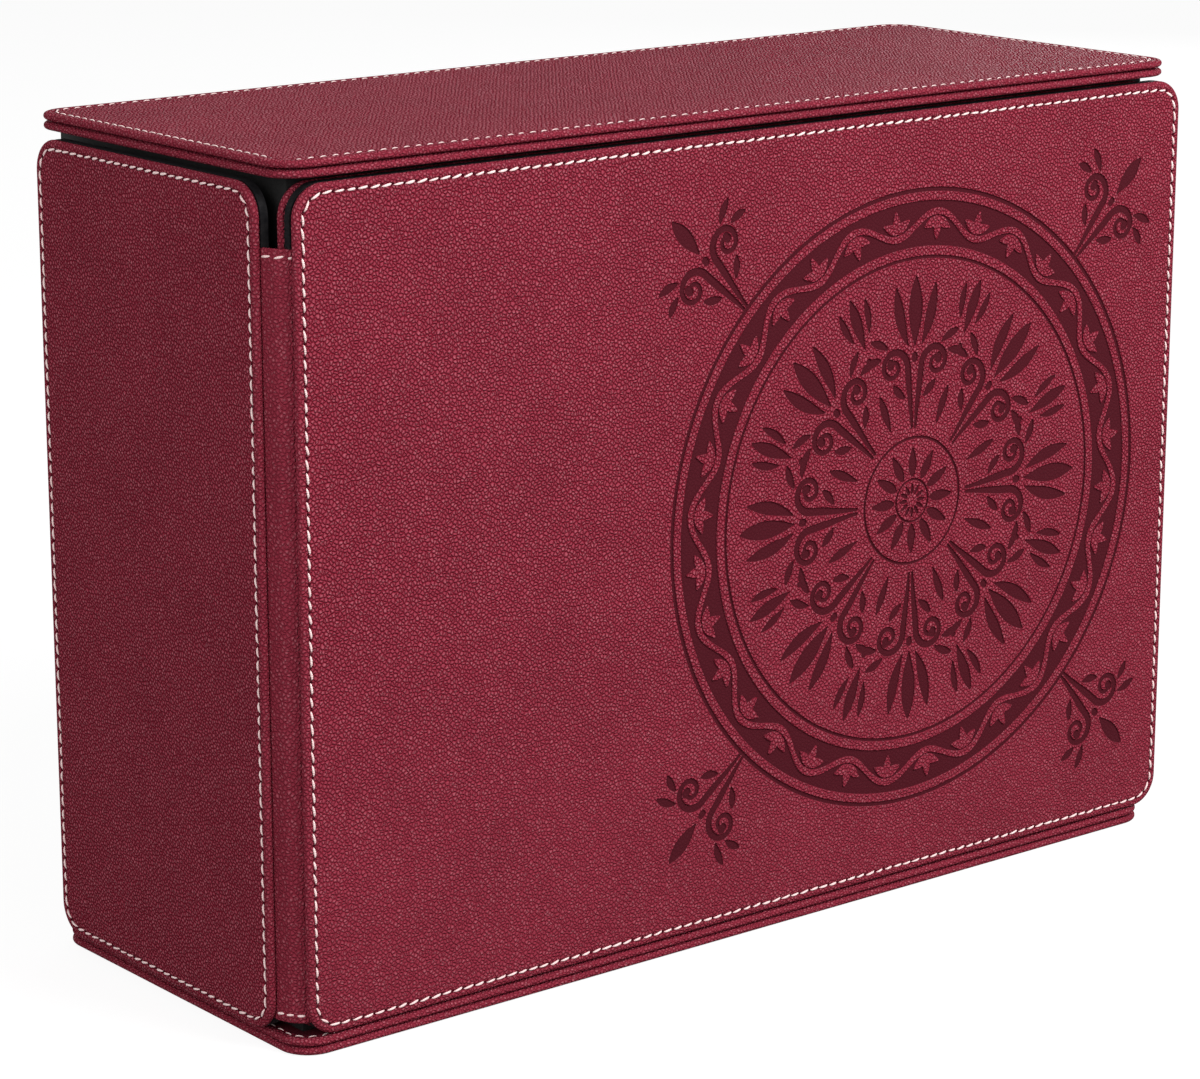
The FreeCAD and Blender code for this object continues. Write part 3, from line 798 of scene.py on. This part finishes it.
# sectors of scrolls and buds, corner sprays, a rosette, rings, and a wave with leaves in the band
def drawOrnament():
    sunk, raised = [], []
    sectors, petals, waves = ornament["sectors"], ornament["petals"], ornament["waves"]
    for sector in range(sectors):
        angle = sector * 2 * math.pi / sectors
        sunk += turned(scrollBranch(), angle) + turned(scrollBranch(), angle, True)
        sunk += turned(axisSpray(), angle) + turned(betweenSpray(), angle + math.pi / sectors)
    for quarter in range(4):
        sunk += turned(cornerSpray(), (quarter + 0.5) * math.pi / 2)
    for petal in range(petals):
        angle = petal * 2 * math.pi / petals
        sunk += turned([leaf((7.4, 0), 0.0, 9.4, 1.55, 0.0), leaf((2.0, 0), 0.0, 3.4, 0.5, 0.0)], angle)
    for radius, width in ornament["rings"]:
        for half in range(2):
            sunk.append(circleStroke(radius, width, half * math.pi, (half + 1) * math.pi + 0.02))
    middleBand = sum(ornament["band"]) / 2
    for wave in range(2 * waves):
        angle = (wave + 0.5) * math.pi / waves
        side = 1 if wave % 2 == 0 else -1
        reach = np.linspace(-1, 1, 30) * math.pi / waves * 0.5
        radius = middleBand - side * ornament["waveReach"] * np.cos(reach * waves)
        raised.append(evenStroke(radius[:, None] * circlePoints(angle + reach), ornament["waveWidths"]))
        root = (middleBand - side * 1.6) * np.array([math.cos(angle), math.sin(angle)])
        outward = angle if side > 0 else angle + math.pi
        for spread, length in ((-1, 5.6), (0, 6.2), (1, 5.6)):
            raised.append(leaf(root, outward + spread * 0.85, length, 1.15, 0.2 * spread))
    return sunk, raised


# both sides of a stroke, moved out by a margin, as a closed outline; thin ends are left out
def outline(line, width, margin):
    width = width + margin
    thinEnd, thinLine = ornament["thin"]
    keep = np.flatnonzero(width > thinEnd)
    if len(keep) < 4:
        return None
    line, width = line[keep[0]:keep[-1] + 1], width[keep[0]:keep[-1] + 1]
    ahead = unitVectors(np.gradient(line, axis=0))
    beside = np.column_stack([-ahead[:, 1], ahead[:, 0]]) * np.maximum(width, thinLine)[:, None]
    turn = np.linspace(-math.pi / 2, math.pi / 2, 7)[1:-1]

    def cap(point, way, size):
        side = np.array([-way[1], way[0]])
        return point + size * (np.cos(turn)[:, None] * way + np.sin(turn)[:, None] * side)

    return np.vstack([line - beside, cap(line[-1], ahead[-1], width[-1]), (line + beside)[::-1],
                      cap(line[0], -ahead[0], width[0])])


# how far inside the strokes each point lies: half width less the distance to the centre line
def insideDepth(points, strokes):
    best = np.full(len(points), -9.0)
    for line, width in strokes:
        reach = width.max() + 1.0
        near = np.flatnonzero(np.all((points > line.min(0) - reach) & (points < line.max(0) + reach), axis=1))
        if not len(near):
            continue
        start, step = line[:-1], np.diff(line, axis=0)
        offset = points[near][:, None, :] - start[None]
        share = np.clip((offset * step).sum(2) / (step ** 2).sum(1), 0, 1)
        gap = np.linalg.norm(offset - share[..., None] * step, axis=2)
        depth = (width[:-1] + share * np.diff(width) - gap).max(1)
        best[near] = np.maximum(best[near], depth)
    return best


# the face inside the seam: triangles between the last ring and the drawn outlines, pressed down inside them
def pressedFace(ringLocal, ringNumbers, firstNew):
    sunk, raised = drawOrnament()
    centre, slope = np.array(ornament["centre"]), ornament["slope"]
    inner, outer = ornament["band"]
    loops = [outline(line, width, margin) for strokes, edge in ((sunk, -slope), (raised, slope))
             for line, width in strokes for margin in (0.0, edge)]
    angle = np.linspace(0, 2 * math.pi, ornament["bandSteps"], endpoint=False)
    loops += [radius * circlePoints(angle) for radius in (inner, inner + slope, outer - slope, outer)]
    loops = [loop + centre for loop in loops if loop is not None]
    corners = [ringLocal[:, :2]] + loops
    starts = np.concatenate([[0], np.cumsum([len(loop) for loop in corners])])
    points = np.vstack(corners)
    edges = np.vstack([np.column_stack([np.arange(first, last), np.roll(np.arange(first, last), -1)])
                       for first, last in zip(starts[:-1], starts[1:])])
    made = delaunay_2d_cdt([Vector(point) for point in points.tolist()], edges.tolist(), [], 0,
                           ornament["merge"])
    flatPoints = np.array([tuple(point) for point in made[0]])
    triangles = np.array(made[2])
    local = flatPoints - centre
    radius = np.linalg.norm(local, axis=1)
    band = np.minimum(np.minimum(radius - inner, outer - radius), -insideDepth(local, raised))
    pressed = np.clip(np.maximum(insideDepth(local, sunk), band) / slope, 0, 1)
    level = ringLocal[0, 2] - ornament["depth"] * pressed
    ringCount = len(ringLocal)
    known = np.array([min((number for number in origin if number < ringCount), default=-1)
                      for origin in made[3]])
    fresh = np.flatnonzero(known < 0)
    number = np.zeros(len(known), int)
    number[known >= 0] = ringNumbers[known[known >= 0]]
    number[fresh] = firstNew + np.arange(len(fresh))
    triangles = number[triangles]
    added = np.column_stack([flatPoints[fresh], level[fresh]])
    print("ornament:", len(loops), "outlines,", len(triangles), "triangles")
    return added, triangles, pressed[fresh]


panelCorners, boardCorners, drawerCorners = [9.5] * 4, [10.0] * 4, [2.0] * 4
panelBodies = {"front": "front_panel", "left": "left_panel", "right": "case", "back": "case"}
for side, body in panelBodies.items():
    inside = pressedFace if side == "front" else None
    board = wrappedBoard(side + "Board", side + "_cover", body, side, panelCorners, inside=inside)
    if inside:
        # painted light: the front panel's grain shade and highlight even out towards its foot
        addAttribute(board, "footLightFade", np.ones(len(board.data.vertices)))
for name, body, topLook, look in (("lid", "lid", lidLook, lidLook), ("base", "case", baseTopLook, baseLook)):
    wrappedBoard(name + "TopBoard", name + "_upper", body, "up", boardCorners, look=topLook)
    wrappedBoard(name + "UnderBoard", name + "_lower", body, "down", boardCorners, seam=False,
                 look=dict(look, step=plainStep))
for side, body in panelBodies.items():
    boardStitches(side + "Stitches", side + "_cover", body, side, panelCorners)
boardStitches("lidStitches", "lid_upper", "lid", "up", boardCorners, look=lidLook, thread=slimThread,
              sink=lidSink)
boardStitches("baseStitches", "base_upper", "case", "up", boardCorners, look=baseLook, thread=slimThread)
frameMiddle = boardFrame("front_frame", "front")[0]
shelfOpening = {"low": 11.0, "high": 220.8, "half": 149.0}  # the drawers' opening in the front frame
frameOpening = {"centre": (0.0, (shelfOpening["low"] + shelfOpening["high"]) / 2 - frameMiddle[2]),
                "half": (shelfOpening["half"], (shelfOpening["high"] - shelfOpening["low"]) / 2),
                "corners": [0.7] * 4}
wrappedBoard("frontFrameBoard", "front_frame", "case", "front", panelCorners, look=frameLook,
             opening=frameOpening)
boardStitches("frameStitches", "front_frame", "case", "front", panelCorners, look=frameLook)
print("boards and stitches made")

drawerLook = dict(boardLook, reach=6.0)
pullLook = dict(boardLook, seam=1.9, pitch=2.9, reach=3.6, bead=0.5, dip=0.12, puff=0.03, step=0.6)
pullThread = dict(stitchLook, halfWidth=0.27, halfHeight=0.2)
pullCorners = [0.9, 0.9, 7.9, 7.9]
for name in ("lower", "middle", "upper"):
    body = name + "_drawer"
    wrappedBoard(name + "DrawerBoard", body + "_front", body, "front", drawerCorners, look=drawerLook)
    boardStitches(name + "DrawerStitches", body + "_front", body, "front", drawerCorners, look=drawerLook)
    wrappedBoard(name + "PullTab", body + "_pull", body, "front", pullCorners, look=pullLook)
    boardStitches(name + "PullStitches", body + "_pull", body, "front", pullCorners, look=pullLook,
                  thread=pullThread)
feltLook = dict(boardLook, bead=0.35, reach=4.0, step=plainStep)
for name, node, body, lie, corner in (("trayFelt", "tray_liner", "case", "up", 0.8),
                                      ("lidFelt", "lid_lining", "lid", "down", 3.0)):
    wrappedBoard(name, node, body, lie, [corner] * 4, seam=False, look=feltLook, skin=skins["shortFelt"])
print("drawers and felts made")


stripLook = {"thick": 0.9, "ease": 1.2, "spacing": 0.15, "taut": 0.7, "rowTop": 2.3, "rowBottom": 2.4,
             "pitchTop": 3.9, "pitchBottom": 3.1, "share": 0.86, "least": 1.0, "lift": 0.05, "step": 6.0,
             "sides": (0.35, 0.8, 1.0),  # shares of the thickness towards a rounded side
             "ends": ((0.0, 0.05), (0.08, 0.6), (0.25, 0.9), (0.6, 1.0))}  # places from an end, and shares


# centre line of a strip across its fold: straight runs through the corners given, eased by a running mean
def easedLine(corners):
    corners, spacing = np.asarray(corners, float), stripLook["spacing"]
    run = runAlong(corners)
    line = pointsAt(np.linspace(0, run[-1], int(run[-1] / spacing)), run, corners)
    reach = int(stripLook["ease"] / spacing)
    weight = np.hanning(2 * reach + 3)[1:-1]
    padded = np.vstack([2 * line[0] - line[reach:0:-1], line, 2 * line[-1] - line[-2:-reach - 2:-1]])
    return np.column_stack([np.convolve(padded[:, axis], weight / weight.sum(), "valid") for axis in (0, 1)])


# strip: a rounded flat section round the centre line, carried along the fold from one end to the other
def hingeStrip(name, node, line, order, span, bodies, start, end):
    ahead = unitVectors(np.gradient(line, axis=0))
    outward = np.column_stack([ahead[:, 1], -ahead[:, 0]])
    sides = np.array(stripLook["sides"])
    thin = np.concatenate([sides, np.ones(len(line) - 2 * len(sides)), sides[::-1]])
    offset = outward * thin[:, None] * stripLook["thick"] / 2
    section = np.vstack([line + offset, (line - offset)[::-1]])
    core = np.vstack([line, line[::-1]])
    low, high = span
    steps = max(12, int((high - low) / stripLook["step"]))
    inward, full = np.array(stripLook["ends"]).T
    along = np.concatenate([low + inward[:-1], np.linspace(low + inward[-1], high - inward[-1], steps),
                            high - inward[-2::-1]])
    swell = np.concatenate([full[:-1], np.ones(steps), full[-2::-1]])
    flat = core[None] + (section - core)[None] * swell[:, None, None]
    points = np.concatenate([flat, np.repeat(along[:, None, None], len(section), axis=1)], axis=2)
    around, rows = len(section), len(along)
    verts = points.reshape(-1, 3)[:, order] * mm
    lastRing = (rows - 1) * around + np.arange(around)
    faces = ringCells(rows, around)[0].tolist() + [np.arange(around)[::-1].tolist(), lastRing.tolist()]
    sheet = np.column_stack([np.tile(runAlong(section), rows), np.repeat(along, around)]) * mm
    loops = np.concatenate([np.asarray(face) for face in faces])
    piece = addPiece(name, verts.tolist(), faces, leatherSkin, {"sheet": sheet[loops]})
    addAttribute(piece, "taut", np.full(len(verts), stripLook["taut"]))
    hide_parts(node)
    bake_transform(piece)


# short rows of stitches across an upright strip, near its two ends; the last one stops where its row does
def stripStitches(name, line, rows, bodies, start, end, first, last):
    run = runAlong(line)
    starts, ends, ups = [], [], []
    for level, pitch in rows:
        begin = np.arange(first, last - stripLook["least"], pitch)
        finish = np.minimum(begin + stripLook["share"] * pitch, last)
        tail, head, middle = (pointsAt(place, run, line) for place in (begin, finish, (begin + finish) / 2))
        ahead = unitVectors(head - tail)
        outward = np.column_stack([ahead[:, 1], -ahead[:, 0]])
        sag = middle - (tail + head) / 2
        lift = outward * (stripLook["thick"] / 2 + stripLook["lift"]) + sag / 2
        height = np.full((len(begin), 1), level)
        starts.append(np.hstack([tail + lift, height]))
        ends.append(np.hstack([head + lift, height]))
        ups.append(np.hstack([outward, np.zeros((len(begin), 1))]))
    piece = threadRow(name, np.vstack(starts), np.vstack(ends), np.vstack(ups))
    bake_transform(piece)


upright, sideways = [0, 1, 2], [2, 0, 1]  # where x, y and z come from: section first, then along the fold
stripLow, stripHigh = (float(corner[2]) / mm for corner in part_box("front_strip"))
stripRows = ((stripLow + stripLook["rowBottom"], stripLook["pitchBottom"]),
             (stripHigh - stripLook["rowTop"], stripLook["pitchTop"]))
uprightStrips = {
    "front": {"corners": [(-169.25, -46.3), (-169.25, -53.6), (-167.75, -57.9), (-165.0, -60.65),
                          (-157.8, -60.65)],
              "row": {"first": 7.0, "last": 16.4},
              "fold": {"bodies": ("left_panel", "front_panel"), "start": (-0.1686, -0.0560, 0.0),
                       "end": (-0.1650, -0.0611, 0.0)}},
    "rear": {"corners": [(-149.8, 60.25), (-165.2, 60.25), (-168.0, 59.0), (-169.25, 56.2), (-169.25, 48.8)],
             "row": {"first": 9.0, "last": 21.5},
             "fold": {"bodies": ("case", "left_panel"), "start": (-0.1652, 0.0607, 0.0),
                      "end": (-0.1697, 0.0562, 0.0)}},
}
for name, strip in uprightStrips.items():
    line = easedLine(strip["corners"])
    hingeStrip(name + "HingeStrip", name + "_strip", line, upright, (stripLow, stripHigh), **strip["fold"])
    stripStitches(name + "StripStitches", line, stripRows, **strip["fold"], **strip["row"])
lidSpan = [float(corner[0]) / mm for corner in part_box("lid_strip")]
lidLine = easedLine([(60.25, 230.9), (60.25, 241.6), (59.2, 243.9), (57.0, 244.75), (49.5, 244.75)])
hingeStrip("lidHingeStrip", "lid_strip", lidLine, sideways, lidSpan, ("case", "lid"),
           start=(0.0, 0.0607, 0.2412), end=(0.0, 0.0567, 0.2452))
print("hinge strips made")

# the nodes that keep their own shape get the look of their slot
nodeSkins = {"leatherette": leatherSkin, "black_lining": skins["liningSheet"],
             "black_board": skins["wrappedBoard"], "felt": skins["shortFelt"],
             "clear_film": skins["clearFilm"], "magnet": skins["platedDisc"]}
for subpart in frame["record"]["subparts"]:
    node = frame["nodes"][subpart["node"]]
    node.data.materials.clear()
    node.data.materials.append(nodeSkins[subpart["material_slot"]])
print("CAD nodes dressed")

studio = {"floor": 0.22, "floorWhite": 0.88, "floorReach": 6.0, "floorLevel": -0.0002, "world": 0.33}
lamps = {
    "keyLamp": {"place": (0.40, -0.95, 0.88), "aim": (0, 0, 0.16), "size": 0.9, "power": 17.3},
    "fillLamp": {"place": (-1.1, -0.5, 0.58), "aim": (-0.15, 0, 0.16), "size": 0.8, "power": 6.8},
    "rimLamp": {"place": (1.7, 1.3, 0.62), "aim": (0.1, 0, 0.22), "size": 0.6, "power": 2.7},
}
view = {"place": (-0.7294, -0.8896, 0.4037), "ahead": (0.6084, 0.7539, -0.2480), "sensor": 36.0,
        "lens": 115.55, "clip": (0.05, 30.0)}
white = (1, 1, 1, 1)


# one where the surface is seen, mirrored or looked through, none where it only lights the object
def seenDirectly(tree):
    rays = tree.nodes.new("ShaderNodeLightPath").outputs
    return mathNode(tree, "MAXIMUM", rays["Is Camera Ray"],
                    mathNode(tree, "MAXIMUM", rays["Is Glossy Ray"], rays["Is Transmission Ray"]))


# a wide floor that takes the shadow and looks nearly white
def makeFloor():
    reach, level = studio["floorReach"], studio["floorLevel"]
    mesh = bpy.data.meshes.new("studioFloor")
    mesh.from_pydata([(-reach, -reach, level), (reach, -reach, level), (reach, reach, level),
                      (-reach, reach, level)], [], [(0, 1, 2, 3)])
    material = bpy.data.materials.new("paleFloor")
    tree = emptyTree(material)
    out = tree.nodes.new("ShaderNodeOutputMaterial")
    paint = addNode(tree, "ShaderNodeBsdfDiffuse", {"Color": (studio["floor"],) * 3 + (1,)})
    glow = addNode(tree, "ShaderNodeEmission", {"Color": white},
                   {"Strength": mathNode(tree, "MULTIPLY", seenDirectly(tree), studio["floorWhite"])})
    both = addNode(tree, "ShaderNodeAddShader", links={0: paint.outputs[0], 1: glow.outputs[0]})
    tree.links.new(both.outputs[0], out.inputs["Surface"])
    mesh.materials.append(material)
    floor = bpy.data.objects.new("studioFloor", mesh)
    scene.collection.objects.link(floor)


# even surroundings that look white and give less light than that
def makeWorld():
    world = bpy.data.worlds.new("studioWorld")
    tree = emptyTree(world)
    out = tree.nodes.new("ShaderNodeOutputWorld")
    strength = mathNode(tree, "MULTIPLY_ADD", seenDirectly(tree), 1.0 - studio["world"], studio["world"])
    back = addNode(tree, "ShaderNodeBackground", {"Color": white}, {"Strength": strength})
    tree.links.new(back.outputs[0], out.inputs["Surface"])
    scene.world = world


# a lamp or the camera at its place, looking ahead
def placeHolder(name, data, place, ahead):
    holder = bpy.data.objects.new(name, data)
    holder.location = place
    holder.rotation_euler = ahead.to_track_quat("-Z", "Y").to_euler()
    scene.collection.objects.link(holder)
    return holder


makeFloor()
makeWorld()
for name, lamp in lamps.items():
    light = bpy.data.lights.new(name, "AREA")
    light.shape, light.size, light.energy = "DISK", lamp["size"], lamp["power"]
    placeHolder(name, light, lamp["place"], Vector(lamp["aim"]) - Vector(lamp["place"]))
camera = bpy.data.cameras.new("photoCamera")
camera.sensor_width, camera.lens = view["sensor"], view["lens"]
camera.clip_start, camera.clip_end = view["clip"]
scene.camera = placeHolder("photoCamera", camera, view["place"], Vector(view["ahead"]))
scene.view_settings.view_transform = "Standard"
print("studio made")
